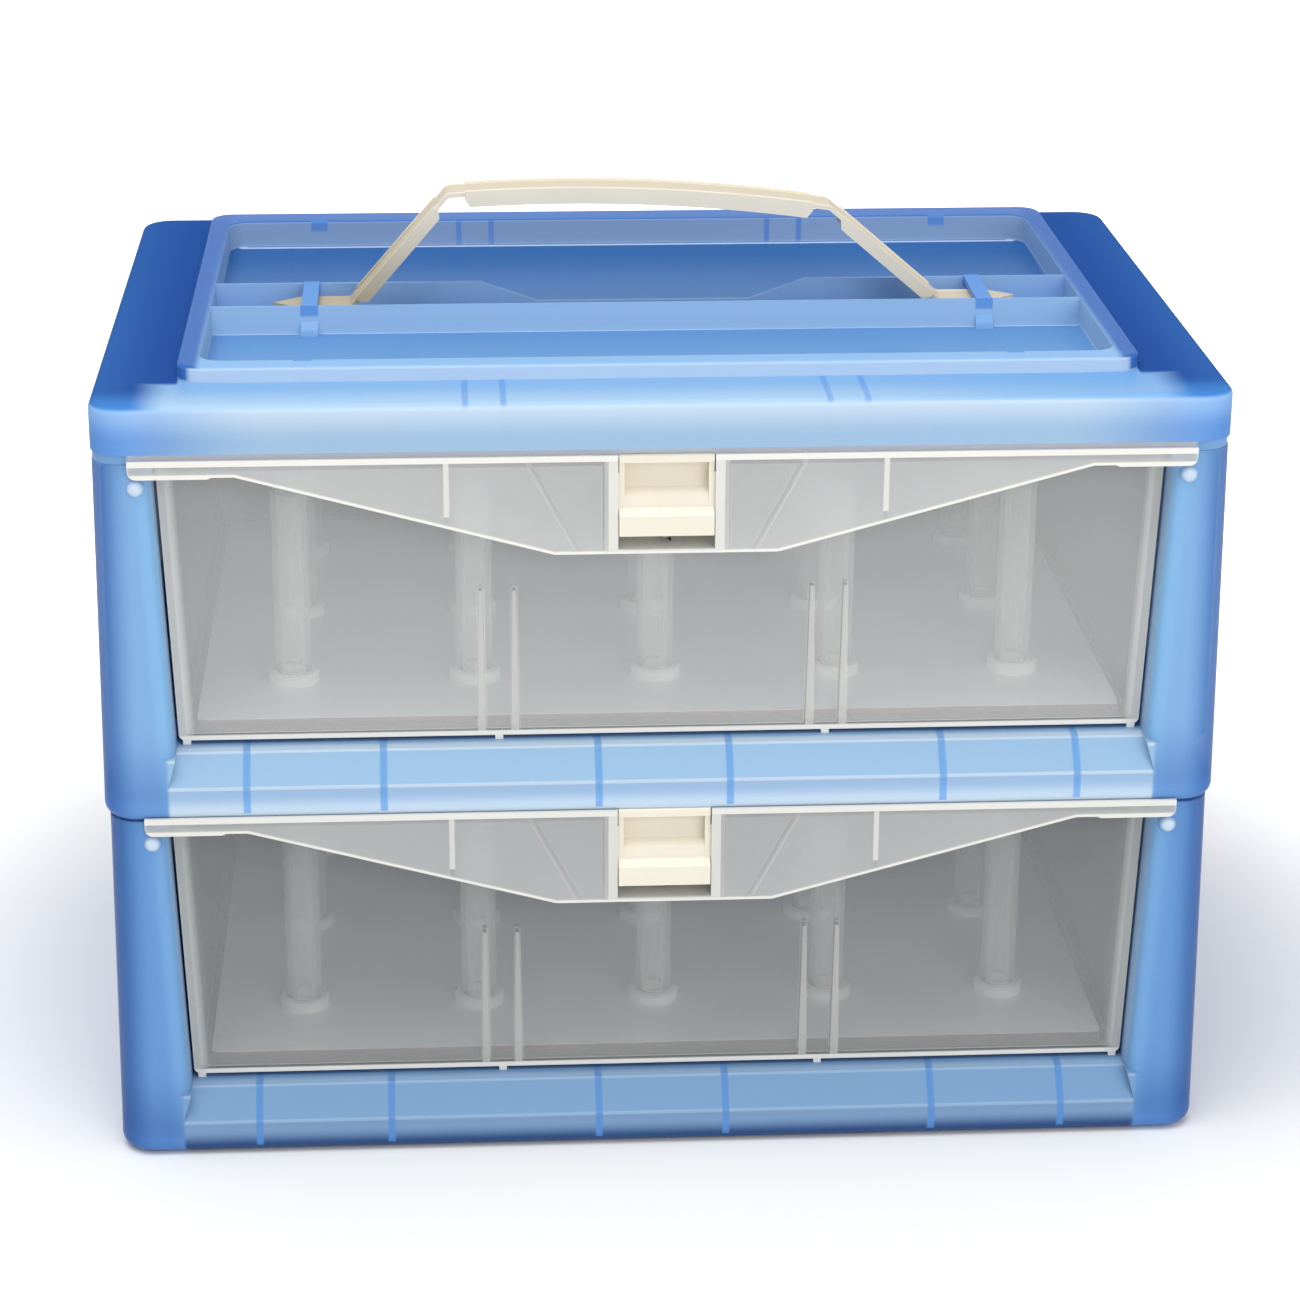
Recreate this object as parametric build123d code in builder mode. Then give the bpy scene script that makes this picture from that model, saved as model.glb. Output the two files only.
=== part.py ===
from build123d import *
import os
from math import atan2, cos, degrees, radians, sin, sqrt, tan

# Thread storage box: two stacked drawer tiers under a lid with a folding strap handle.
# Millimetres. X runs right, Y runs back, Z runs up. The origin is on the floor, under the middle.

# Overall sizes
lid_width = 336.0
lid_depth = 230.6
box_depth = 231.3
latch_front = -box_depth / 2
visor_front = latch_front + 0.5
lid_front = latch_front + 0.7
case_centre_y = lid_front + lid_depth / 2

# Tiers: two alike shells, open in front, each nesting over the rim of the one below
tier_pitch = 112.55
tier_width = 338.8
tier_depth = 229.6
tier_front = lid_front + 0.5
tier_corner = 10.5
tier_draft = 0.8
wall = 2.4
base_wall = 5.6
base_edge_radius = 4.4
floor_top = 20.4
floor_bottom = 18.0
opening_half_low = 147.0
opening_half_high = 150.8
opening_top = tier_pitch
opening_slope = (opening_half_high - opening_half_low) / (opening_top - floor_top)

# Front rail under each drawer: an upright band, then a slope back to the floor
ridge_height = 10.9
rail_depth = 8.0
rail_top = 19.9
rail_half_low = 149.4
rail_half_high = 146.9
rail_rib_places = (-125.9, -84.8, -19.9, 19.9, 84.8, 125.9)
rail_rib_thickness = 1.8
rail_rib_foot = 2.7
rail_rib_depth = 1.2

# Pillars beside each drawer
return_wall = 2.2
return_depth = 15.0
pillar_block = 7.0
pillar_block_depth = 8.0
pillar_edge_radius = 4.6
pip_radius = 2.9
pip_x = 154.9
pip_height = 105.4
pip_sunk = 2.6

# Rim on top of each tier, with the lintel that the latch catches
rim_outer_width = 327.0
rim_outer_depth = 215.4
rim_wall = 2.2
rim_top = tier_pitch + 5.5
shoulder_low = 108.5
lintel_depth = 9.5
catch_pocket_half = 9.0
catch_pocket_front = -106.4
catch_pocket_back = -102.6
catch_pocket_depth = 3.5
guide_half = 147.0
guide_thickness = 1.8
guide_height = 6.0

# Drawers
panel_front = -101.85
drawer_back = 103.1
drawer_bottom = 21.8
drawer_rim = 106.0
drawer_half_low = 146.3
drawer_half_high = 149.6
drawer_slope = (drawer_half_high - drawer_half_low) / (drawer_rim - drawer_bottom)
drawer_wall = 2.0
drawer_floor = 1.4
rim_bead = 0.4
rim_bead_height = 2.4
runner_places = (-144.0, -49.7, 49.7, 144.0)
runner_width = 2.4
runner_bottom = floor_top + 0.05
divider_rib_places = (44.8, 54.9)
divider_rib_top = 68.6
divider_rib_depth = 3.0

# Visor: the hood along each drawer's top, with a drop-front apron to pull by
visor_top = 112.2
visor_lip = 114.1
visor_half = 156.8
visor_shelf = 1.6
visor_wall = 1.3
visor_end_low = 108.6
visor_low = 83.9
visor_low_half = 33.0
visor_slope_half = 126.0
visor_jog_half = 133.6
visor_jog = 0.5
visor_corner = 2.6
visor_slot_x = 49.8
visor_slot_width = 7.7
visor_slot_depth = 6.0
visor_rib_x = 64.6
visor_rib_low = visor_top - 19.2
visor_rib_thickness = 1.6
diagonal_rib_top_x = 40.4
diagonal_rib_low_x = 25.8

# Latch: a sprung slider in a window of the visor
window_half = 14.3
window_floor = visor_low + 1.2
housing_half = 17.0
housing_wall = 1.8
slider_half = 14.0
slider_bottom = visor_low + 5.5
slider_back = -103.7
slider_cheek = 1.6
slider_wing_half = 16.6
slider_wing_low = slider_bottom + 2.0
slider_wing_top = slider_bottom + 19.0
slider_lip = 0.9
slider_roof = slider_bottom + 22.6
tongue_top = tier_pitch - 0.3
tongue_front = -106.0
spring_y = -106.9
spring_radius = 1.9
spring_wire = 0.45
spring_pocket_radius = 2.25
spring_top = window_floor + 11.2

# Insert: an acrylic plate with fifteen hollow posts for thread, cemented on
plate_half = 141.5
plate_front = -96.4
plate_back = 94.4
plate_thickness = 3.0
plate_corner = 3.0
plate_bottom = drawer_bottom + drawer_floor
plate_top = plate_bottom + plate_thickness
post_columns = 5
post_rows = ("front", "middle", "rear")
post_pitch_x = 56.5
post_pitch_y = 61.8
post_flange_radius = 8.2
post_flange_height = 3.4
post_radius = 5.7
post_bore_radius = 4.0
post_height = 62.0

# Lid: a skirt, a ledge and a raised platform with a recessed tray
skirt_bottom = 228.6
ledge_height = 243.1
platform_top = 248.0
tray_floor = 239.0
lid_wall = 2.2
lid_corner = 10.0
platform_half = 143.5
platform_front = -90.8
platform_back = 102.3
platform_corner = 7.0
tray_half = 137.0
tray_front = -83.4
tray_back = 89.5
tray_corner = 7.0
lid_rib_places = (-58.7, -47.6, 47.6, 58.7)
lid_rib_thickness = 1.5
lid_rib_bottom = tier_pitch + rim_top
corner_rib_x = 153.5
corner_rib_length = 14.0

# Handle channel across the tray
channel_y = -7.2
channel_gap = 26.5
channel_wall = 1.8
notch_half_top = 52.4
notch_half_low = 34.3
notch_bottom = 241.2
bridge_x = 106.4
bridge_width = 5.0
bridge_thickness = 1.8
gusset_width = 5.4
gusset_height = 4.2
gusset_depth = 3.6

# Handle strap: a thin web with side rails, folded at four living hinges
web_thickness = 1.3
web_width = 14.0
rail_proud = 0.6
rail_width = 2.2
rail_drop = -0.4
leg_rail_depth = 3.4
grip_rail_depth = 4.6
leg_length = 47.6
grip_left = (-62.6, 280.6)
grip_right = (57.6, 275.6)
grip_arch = 3.3
foot_height = 244.6
fold_gap = 0.45
tab_shoulder_x = 109.4
tab_tip_x = 118.1
rail_setback_foot = 3.8
rail_setback_top = 5.4
rail_end_chamfer = 1.8


def front_plane(y):
    """The upright plane at depth y, seen from the front: sketch x is X and sketch y is Z."""
    return Plane.XZ.offset(-y)


def side_plane(x):
    """The upright plane at x, seen from the right: sketch x is Y and sketch y is Z."""
    return Plane.YZ.offset(x)


def slab(width, depth, corner, low, high, centre_y=case_centre_y, taper=0.0, mode=Mode.ADD):
    """Works a round-cornered slab between two heights into the part that is being made."""
    with BuildSketch(Plane.XY.offset(low)) as outline:
        with Locations((0, centre_y)):
            RectangleRounded(width, depth, corner)
    extrude(outline.sketch, amount=high - low, taper=taper, mode=mode)


def box_between(x_range, y_range, z_range, mode=Mode.ADD):
    """Works a plain block between three pairs of limits into the part that is being made."""
    sizes = [high - low for low, high in (x_range, y_range, z_range)]
    middle = [(high + low) / 2 for low, high in (x_range, y_range, z_range)]
    with Locations(tuple(middle)):
        Box(*sizes, mode=mode)


def plate_in_front(points, y_front, y_back, mode=Mode.ADD):
    """Works an upright plate with the outline points (X, Z) between two depths into the part."""
    with BuildSketch(front_plane(y_front)) as outline:
        with BuildLine():
            Polyline(*points, close=True)
        make_face()
    extrude(outline.sketch, amount=-(y_back - y_front), mode=mode)


def plate_from_side(points, x_low, x_high, mode=Mode.ADD):
    """Works an upright plate with the outline points (Y, Z) between two x places into the part."""
    with BuildSketch(side_plane(x_low)) as outline:
        with BuildLine():
            Polyline(*points, close=True)
        make_face()
    extrude(outline.sketch, amount=x_high - x_low, mode=mode)


def opening_half(height):
    """Half the width of a tier's front opening at a height above its base."""
    return opening_half_low + (height - floor_top) * opening_slope


def drawer_half(height):
    """Half the width of a drawer at a height above its tier's base."""
    return drawer_half_low + (height - drawer_bottom) * drawer_slope


def rail_slope_space(base):
    """The space in front of a rail's slope, which narrows towards the top."""
    reach = 3.0
    lift = 1.2
    with BuildPart() as space:
        sides = (rail_half_high - rail_half_low) / (rail_top - ridge_height)
        high_half = rail_half_low + sides * (rail_top + lift - ridge_height)
        trapezoid = [
            (-rail_half_low, base + ridge_height),
            (rail_half_low, base + ridge_height),
            (high_half, base + rail_top + lift),
            (-high_half, base + rail_top + lift),
        ]
        plate_in_front(trapezoid, tier_front - reach, tier_front + rail_depth + reach)
        slope = [
            (tier_front - reach, base + ridge_height),
            (tier_front, base + ridge_height),
            (tier_front + rail_depth, base + rail_top),
            (tier_front + rail_depth + reach, base + floor_top),
            (tier_front + rail_depth + reach, base + rail_top + lift),
            (tier_front - reach, base + rail_top + lift),
        ]
        plate_from_side(slope, -rail_half_low - 1, rail_half_low + 1, mode=Mode.INTERSECT)
    return space.part


def make_tier(name, base):
    """A tier shell: floor, three walls, two front pillars, a front rail and a rim to nest on."""
    shrink = 2 * tan(radians(tier_draft))
    slope_space = rail_slope_space(base)
    with BuildPart() as tier:
        slab(tier_width, tier_depth, tier_corner, base, base + tier_pitch, taper=tier_draft)
        fillet(tier.edges().group_by(Axis.Z)[0], base_edge_radius)

        # Drawer bay
        inner_width = tier_width - 2 * wall - shrink * floor_top
        inner_depth = tier_depth - 2 * wall - shrink * floor_top
        slab(inner_width, inner_depth, tier_corner - wall, base + floor_top,
             base + tier_pitch + 1, taper=tier_draft, mode=Mode.SUBTRACT)

        # Hollow under the floor, which nests over the rim of the tier below
        hollow_width = tier_width - 2 * base_wall
        hollow_depth = tier_depth - 2 * base_wall
        hollow_step = 8.0
        slab(hollow_width, hollow_depth, tier_corner - base_wall, base, base + hollow_step,
             mode=Mode.SUBTRACT)
        under_slope = [
            (tier_front + base_wall, base + hollow_step - 0.5),
            (tier_front + rail_depth + wall, base + floor_bottom),
            (tier_front + tier_depth - base_wall, base + floor_bottom),
            (tier_front + tier_depth - base_wall, base + hollow_step - 0.5),
        ]
        plate_from_side(under_slope, -tier_width / 2 + 7, tier_width / 2 - 7, mode=Mode.SUBTRACT)

        # Shoulder and rim
        slab(tier_width - 5, tier_depth - 5, tier_corner - wall, base + shoulder_low,
             base + tier_pitch)
        slab(rim_outer_width, rim_outer_depth, tier_corner - wall, base + shoulder_low,
             base + rim_top)
        slab(rim_outer_width - 2 * rim_wall, rim_outer_depth - 2 * rim_wall, 6.0,
             base + shoulder_low - 1, base + rim_top + 1, mode=Mode.SUBTRACT)

        # Front opening and the walls that close the pillars beside it
        opening = [
            (-opening_half_low, base + floor_top),
            (opening_half_low, base + floor_top),
            (opening_half(opening_top), base + opening_top),
            (-opening_half(opening_top), base + opening_top),
        ]
        plate_in_front(opening, tier_front - 3, tier_front + 16, mode=Mode.SUBTRACT)
        for side in (-1, 1):
            for thickness, depth in ((return_wall, return_depth), (pillar_block, pillar_block_depth)):
                edge = [
                    (side * opening_half_low, base + floor_bottom),
                    (side * (opening_half_low + thickness), base + floor_bottom),
                    (side * (opening_half(opening_top) + thickness), base + opening_top),
                    (side * opening_half(opening_top), base + opening_top),
                ]
                plate_in_front(edge, tier_front + wall - 0.6, tier_front + depth)

        # Rounded inner edges of the pillars
        radius = pillar_edge_radius
        for side in (-1, 1):
            for height in (floor_top, opening_top):
                inner = side * opening_half(height)
                outer = inner + side * radius
                front = tier_front + height * tan(radians(tier_draft))
                bend = side * radius * (1 - sqrt(0.5))
                with BuildSketch(Plane.XY.offset(base + height)):
                    with BuildLine():
                        Polyline((inner, front + radius), (inner - side * 2, front + radius),
                                 (inner - side * 2, front - 3), (outer, front - 3), (outer, front))
                        ThreePointArc((outer, front), (inner + bend, front + abs(bend)),
                                      (inner, front + radius))
                    make_face()
            loft(ruled=True, mode=Mode.SUBTRACT)
        add(slope_space, mode=Mode.SUBTRACT)

        # Lintel over the drawer, with the pocket that the latch's tongue rises into
        rim_front = case_centre_y - rim_outer_depth / 2
        box_between((-160, 160), (rim_front, rim_front + lintel_depth),
                    (base + tier_pitch, base + rim_top))
        box_between((-catch_pocket_half, catch_pocket_half),
                    (catch_pocket_front, catch_pocket_back),
                    (base + tier_pitch - 1, base + tier_pitch + catch_pocket_depth),
                    mode=Mode.SUBTRACT)

        # Small domes that hold the visor's ends in line
        with Locations(*[(side * pip_x, tier_front + pip_sunk, base + pip_height)
                         for side in (-1, 1)]):
            Sphere(pip_radius)

        # Ribs behind the rail and under the floor
        rib_clear = 6.4
        for x in rail_rib_places:
            rib = [
                (tier_front + base_wall - 0.4, base + rail_rib_foot),
                (tier_front + base_wall + rail_rib_depth, base + rail_rib_foot),
                (tier_front + base_wall + rail_rib_depth, base + rib_clear),
                (tier_front + tier_depth - base_wall, base + rib_clear),
                (tier_front + tier_depth - base_wall, base + floor_bottom + 0.4),
                (tier_front + rail_depth + wall, base + floor_bottom + 0.4),
                (tier_front + base_wall - 0.4, base + hollow_step),
            ]
            plate_from_side(rib, x - rail_rib_thickness / 2, x + rail_rib_thickness / 2)

        # Low guides that keep the drawer straight
        for side in (-1, 1):
            low, high = sorted((side * guide_half, side * (guide_half + guide_thickness)))
            box_between((low, high), (tier_front + return_depth + 4, drawer_back),
                        (base + floor_top - 0.4, base + floor_top + guide_height))
    tier.part.label = name
    return tier.part


def make_drawer(name, base):
    """A drawer: a drafted tub with a clear front panel, and the visor moulded along its top."""
    with BuildPart() as drawer:
        # Tub
        def section(low, high, inset):
            return [
                (-drawer_half(low) + inset, base + low),
                (drawer_half(low) - inset, base + low),
                (drawer_half(high) - inset, base + high),
                (-drawer_half(high) + inset, base + high),
            ]

        plate_in_front(section(drawer_bottom, drawer_rim, 0), panel_front, drawer_back)
        long_edges = [
            edge for edge in drawer.edges().filter_by(Axis.Y)
            if edge.center().Z < base + drawer_bottom + 1
        ]
        fillet(long_edges, 2.0)
        plate_in_front(
            section(drawer_bottom + drawer_floor, drawer_rim + 1, drawer_wall),
            panel_front + drawer_wall, drawer_back - drawer_wall, mode=Mode.SUBTRACT)

        # Bead round the rim
        for side in (-1, 1):
            low, high = sorted((side * (drawer_half(drawer_rim) - drawer_wall),
                                side * (drawer_half(drawer_rim) + rim_bead)))
            box_between((low, high), (panel_front + 3, drawer_back + rim_bead),
                        (base + drawer_rim - rim_bead_height, base + drawer_rim))
        box_between((-drawer_half(drawer_rim), drawer_half(drawer_rim)),
                    (drawer_back - drawer_wall, drawer_back + rim_bead),
                    (base + drawer_rim - rim_bead_height, base + drawer_rim))

        # Front panel above the tub, and the visor's shelf
        plate_in_front(section(drawer_rim - 1, visor_top - 0.4, 0), panel_front,
                       panel_front + drawer_wall)
        box_between((-drawer_half(drawer_rim), drawer_half(drawer_rim)),
                    (visor_front + 0.5, panel_front + drawer_wall),
                    (base + visor_top - visor_shelf, base + visor_top))

        # Apron, whose top rises as a lip in front of the shelf
        with BuildSketch(front_plane(visor_front)) as apron:
            with BuildLine():
                right = [
                    (visor_low_half, base + visor_low),
                    (visor_slope_half, base + visor_end_low + visor_jog),
                    (visor_jog_half - 1, base + visor_end_low + visor_jog),
                    (visor_jog_half, base + visor_end_low),
                    (visor_half, base + visor_end_low),
                    (visor_half, base + visor_lip),
                ]
                left = [(-x, z) for x, z in reversed(right)]
                Polyline(*right, *left, close=True)
            make_face()
            low_corners = [
                vertex for vertex in apron.vertices()
                if abs(vertex.X) > visor_half - 1 and vertex.Y < base + visor_end_low + 1
            ]
            fillet(low_corners, visor_corner)
        extrude(apron.sketch, amount=-visor_wall)

        # Runners under the floor
        for x in runner_places:
            box_between((x - runner_width / 2, x + runner_width / 2),
                        (panel_front, drawer_back), (base + runner_bottom, base + drawer_bottom + 0.6))

        # Pairs of ribs inside the front panel, in line with the slots in the shelf
        for side in (-1, 1):
            for x in divider_rib_places:
                middle = side * x
                rib = [
                    (middle - 1.4, base + drawer_bottom + 0.5),
                    (middle + 1.4, base + drawer_bottom + 0.5),
                    (middle + 0.7, base + divider_rib_top),
                    (middle - 0.7, base + divider_rib_top),
                ]
                plate_in_front(rib, panel_front + 1.0,
                               panel_front + drawer_wall + divider_rib_depth)
            middle = side * visor_slot_x
            box_between((middle - visor_slot_width / 2, middle + visor_slot_width / 2),
                        (panel_front - visor_slot_depth, panel_front),
                        (base + visor_top - 3, base + visor_top + 1), mode=Mode.SUBTRACT)

        # Ribs behind the apron
        for side in (-1, 1):
            upright = [
                (side * (visor_rib_x - visor_rib_thickness / 2), base + visor_rib_low),
                (side * (visor_rib_x + visor_rib_thickness / 2), base + visor_rib_low),
                (side * (visor_rib_x + visor_rib_thickness / 2), base + visor_top - 0.5),
                (side * (visor_rib_x - visor_rib_thickness / 2), base + visor_top - 0.5),
            ]
            half_rib = visor_rib_thickness / 2
            diagonal = [
                (side * (diagonal_rib_low_x - half_rib), base + visor_low + 0.3),
                (side * (diagonal_rib_low_x + half_rib), base + visor_low + 0.3),
                (side * (diagonal_rib_top_x + half_rib), base + visor_top - 0.5),
                (side * (diagonal_rib_top_x - half_rib), base + visor_top - 0.5),
            ]
            for rib in (upright, diagonal):
                plate_in_front(rib, visor_front + 1.0, panel_front + 1.0)

        # Latch housing: two walls and a floor behind a window, open at the top
        for side in (-1, 1):
            low, high = sorted((side * housing_half, side * (housing_half + housing_wall)))
            box_between((low, high), (visor_front + 1.0, panel_front + 1.0),
                        (base + visor_low, base + visor_top))
        box_between((-housing_half - 0.5, housing_half + 0.5), (visor_front, panel_front + 1.0),
                    (base + visor_low, base + window_floor))
        box_between((-window_half, window_half), (visor_front - 1, visor_front + visor_wall + 0.5),
                    (base + window_floor, base + visor_lip + 1), mode=Mode.SUBTRACT)
        box_between((-housing_half, housing_half), (visor_front + visor_wall, panel_front),
                    (base + window_floor, base + visor_top + 1), mode=Mode.SUBTRACT)
    drawer.part.label = name
    return drawer.part


def make_latch_slider(name, base):
    """The cream thumb slider: a stepped thumb rest under a scoop, wings and a tongue."""
    face = slider_bottom
    with BuildPart() as slider:
        with BuildSketch(side_plane(-slider_half)) as profile:
            with BuildLine():
                lower = Polyline(
                    (slider_back, base + face),
                    (latch_front, base + face),
                    (latch_front, base + face + 6.1),
                    (latch_front + 2.4, base + face + 8.4),
                    (latch_front + 2.4, base + face + 11.9),
                    (latch_front + 5.8, base + face + 13.6),
                    (latch_front + 6.1, base + face + 18.6),
                )
                scoop = ThreePointArc(
                    lower @ 1,
                    (latch_front + 5.0, base + face + 20.9),
                    (latch_front + 2.6, base + face + 21.8),
                )
                Polyline(
                    scoop @ 1,
                    (latch_front + 1.4, base + face + 22.2),
                    (latch_front + 1.4, base + visor_lip - 0.4),
                    (latch_front + 1.8, base + visor_lip),
                    (latch_front + 1.4 + slider_lip, base + visor_lip),
                    (latch_front + 1.4 + slider_lip, base + slider_roof),
                    (tongue_front, base + slider_roof),
                    (tongue_front + 0.4, base + tongue_top),
                    (slider_back - 0.4, base + tongue_top),
                    (slider_back, base + tongue_top - 1.6),
                    (slider_back, base + face),
                )
            make_face()
        extrude(profile.sketch, amount=2 * slider_half)

        # Cheeks that close the scoop at both sides
        for side in (-1, 1):
            low, high = sorted((side * slider_half, side * (slider_half - slider_cheek)))
            cheek = [
                (latch_front + 2.8, base + face + 11.0),
                (latch_front + 1.9, base + slider_roof),
                (slider_back, base + slider_roof),
                (slider_back, base + face + 11.0),
            ]
            plate_from_side(cheek, low, high)

        # The tongue is narrower than the slider
        for side in (-1, 1):
            low, high = sorted((side * 7.5, side * (slider_half + 1)))
            box_between((low, high), (tongue_front - 0.5, slider_back + 1),
                        (base + slider_roof, base + tongue_top + 1), mode=Mode.SUBTRACT)

        # Wings that run behind the window's edges
        wing_front = visor_front + visor_wall + 0.3
        box_between((-slider_wing_half, slider_wing_half), (wing_front, wing_front + 2.0),
                    (base + slider_wing_low, base + slider_wing_top))
        with BuildSketch(side_plane(-slider_half + slider_cheek)) as scoop_space:
            with BuildLine():
                edge = Polyline(
                    (latch_front - 1, base + face + 8.4),
                    (latch_front + 2.4, base + face + 8.4),
                    (latch_front + 2.4, base + face + 11.9),
                    (latch_front + 5.8, base + face + 13.6),
                    (latch_front + 6.1, base + face + 18.6),
                )
                arc = ThreePointArc(
                    edge @ 1,
                    (latch_front + 5.0, base + face + 20.9),
                    (latch_front + 2.6, base + face + 21.8),
                )
                Polyline(
                    arc @ 1,
                    (latch_front - 1, base + face + 21.8),
                    (latch_front - 1, base + face + 8.4),
                )
            make_face()
        extrude(scoop_space.sketch, amount=2 * (slider_half - slider_cheek), mode=Mode.SUBTRACT)

        # Arrow that points down, raised on the lower face
        arrow_half = 7.6
        with BuildSketch(front_plane(latch_front + 0.2)) as arrow:
            with BuildLine():
                Polyline(
                    (-arrow_half, base + face + 5.2), (arrow_half, base + face + 5.2),
                    (0, base + face + 1.9), close=True)
            make_face()
            with BuildLine(mode=Mode.PRIVATE) as inner:
                Polyline(
                    (-arrow_half + 2.6, base + face + 4.5), (arrow_half - 2.6, base + face + 4.5),
                    (0, base + face + 2.8), close=True)
            make_face(inner.edges(), mode=Mode.SUBTRACT)
        extrude(arrow.sketch, amount=-0.5, mode=Mode.SUBTRACT)

        # Pocket for the spring
        with BuildSketch(Plane.XY.offset(base + face - 1)) as pocket:
            with Locations((0, spring_y)):
                Circle(spring_pocket_radius)
        extrude(pocket.sketch, amount=spring_top + 0.05 - face + 1, mode=Mode.SUBTRACT)
    slider.part.label = name
    return slider.part


def make_latch_spring(name, base):
    """The latch's return spring, as the plain tube that its coils fill."""
    with BuildPart() as spring:
        with BuildSketch(Plane.XY.offset(base + window_floor)) as ring:
            with Locations((0, spring_y)):
                Circle(spring_radius)
                Circle(spring_radius - 2 * spring_wire, mode=Mode.SUBTRACT)
        extrude(ring.sketch, amount=spring_top - window_floor)
    spring.part.label = name
    return spring.part


def make_insert_plate(name, base):
    """The clear acrylic plate that lies on the drawer's floor."""
    with BuildPart() as plate:
        slab(2 * plate_half, plate_back - plate_front, plate_corner, base + plate_bottom,
             base + plate_top, centre_y=(plate_front + plate_back) / 2)
        top_edges = plate.edges().group_by(Axis.Z)[-1]
        chamfer(top_edges, 0.3)
    plate.part.label = name
    return plate.part


def make_post(name, base, column, row):
    """A hollow acrylic post on a round foot, cemented on the insert plate."""
    middle_x = (column - (post_columns - 1) / 2) * post_pitch_x
    middle_y = (plate_front + plate_back) / 2 + (row - 1) * post_pitch_y
    foot = base + plate_top
    with BuildPart() as post:
        with BuildSketch(Plane.XZ.offset(-middle_y)) as section:
            with BuildLine():
                Polyline(
                    (middle_x + post_bore_radius, foot),
                    (middle_x + post_flange_radius, foot),
                    (middle_x + post_flange_radius, foot + post_flange_height - 0.8),
                    (middle_x + post_flange_radius - 0.8, foot + post_flange_height),
                    (middle_x + post_radius + 0.3, foot + post_flange_height),
                    (middle_x + post_radius, foot + post_flange_height + 0.3),
                    (middle_x + post_radius, foot + post_height - 0.5),
                    (middle_x + post_radius - 0.5, foot + post_height),
                    (middle_x + post_bore_radius, foot + post_height),
                    close=True)
            make_face()
        revolve(section.sketch, axis=Axis((middle_x, middle_y, 0), (0, 0, 1)))
    post.part.label = name
    return post.part


def make_lid():
    """The lid: skirt, ledge, platform and tray, with the handle's channel across the tray."""
    platform_depth = platform_back - platform_front
    platform_y = (platform_back + platform_front) / 2
    tray_depth = tray_back - tray_front
    tray_y = (tray_back + tray_front) / 2
    channel_front = channel_y - channel_gap / 2
    channel_back = channel_y + channel_gap / 2
    with BuildPart() as lid:
        slab(lid_width, lid_depth, lid_corner, skirt_bottom, ledge_height)
        fillet(lid.edges().group_by(Axis.Z)[-1], 2.4)
        slab(2 * platform_half, platform_depth, platform_corner, ledge_height - 2, platform_top,
             centre_y=platform_y)
        fillet(lid.edges().group_by(Axis.Z)[-1], 1.2)

        # Hollow under the ledge and the platform
        slab(lid_width - 2 * lid_wall, lid_depth - 2 * lid_wall, lid_corner - lid_wall,
             skirt_bottom, ledge_height - lid_wall, mode=Mode.SUBTRACT)
        slab(2 * (platform_half - lid_wall), platform_depth - 2 * lid_wall,
             platform_corner - lid_wall, ledge_height - lid_wall - 1, platform_top - lid_wall,
             centre_y=platform_y, mode=Mode.SUBTRACT)

        # Tray
        slab(2 * (tray_half + lid_wall), tray_depth + 2 * lid_wall, tray_corner + lid_wall,
             tray_floor - lid_wall, platform_top - 0.5, centre_y=tray_y)
        slab(2 * tray_half, tray_depth, tray_corner, tray_floor, platform_top + 1,
             centre_y=tray_y, mode=Mode.SUBTRACT)
        tray_rim = [
            edge for edge in lid.edges().group_by(Axis.Z)[-1]
            if abs(edge.center().X) < tray_half + 1
            and tray_front - 1 < edge.center().Y < tray_back + 1
        ]
        fillet(tray_rim, 0.7)
        tray_foot = [
            edge for edge in lid.edges()
            if abs(edge.center().Z - tray_floor) < 0.01
            and abs(edge.center().X) < tray_half + 1
        ]
        fillet(tray_foot, 1.0)

        # Channel walls, with a notch in the rear one for the fingers
        for low in (channel_front - channel_wall, channel_back):
            box_between((-tray_half - 0.8, tray_half + 0.8), (low, low + channel_wall),
                        (tray_floor - 0.5, platform_top - 0.3))
        notch = [
            (-notch_half_low, notch_bottom), (notch_half_low, notch_bottom),
            (notch_half_top, platform_top - 0.3), (notch_half_top, platform_top + 1),
            (-notch_half_top, platform_top + 1), (-notch_half_top, platform_top - 0.3),
        ]
        plate_in_front(notch, channel_back - 0.5, channel_back + channel_wall + 0.5,
                       mode=Mode.SUBTRACT)

        # Bridges that hold the handle's tabs down, each with a small gusset in front
        for side in (-1, 1):
            middle = side * bridge_x
            box_between((middle - bridge_width / 2, middle + bridge_width / 2),
                        (channel_front - channel_wall, channel_back + channel_wall),
                        (platform_top - bridge_thickness, platform_top))
            face_y = channel_front - channel_wall
            gusset = [
                (face_y - gusset_depth, tray_floor - 0.2), (face_y + 0.2, tray_floor - 0.2),
                (face_y + 0.2, tray_floor + gusset_height),
            ]
            plate_from_side(gusset, middle - gusset_width / 2, middle + gusset_width / 2)

        # Ribs between the skirt and the tray
        for x in lid_rib_places:
            for low, high in ((lid_front + 1, tray_front - 1), (tray_back + 1, lid_front + lid_depth - 1)):
                box_between((x - lid_rib_thickness / 2, x + lid_rib_thickness / 2), (low, high),
                            (lid_rib_bottom, ledge_height - 1))
        for side in (-1, 1):
            for low in (lid_front + 1, lid_front + lid_depth - 1 - corner_rib_length):
                middle = side * corner_rib_x
                box_between((middle - lid_rib_thickness / 2, middle + lid_rib_thickness / 2),
                            (low, low + corner_rib_length), (lid_rib_bottom, ledge_height - 1))
    lid.part.label = "lid"
    return lid.part


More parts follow.
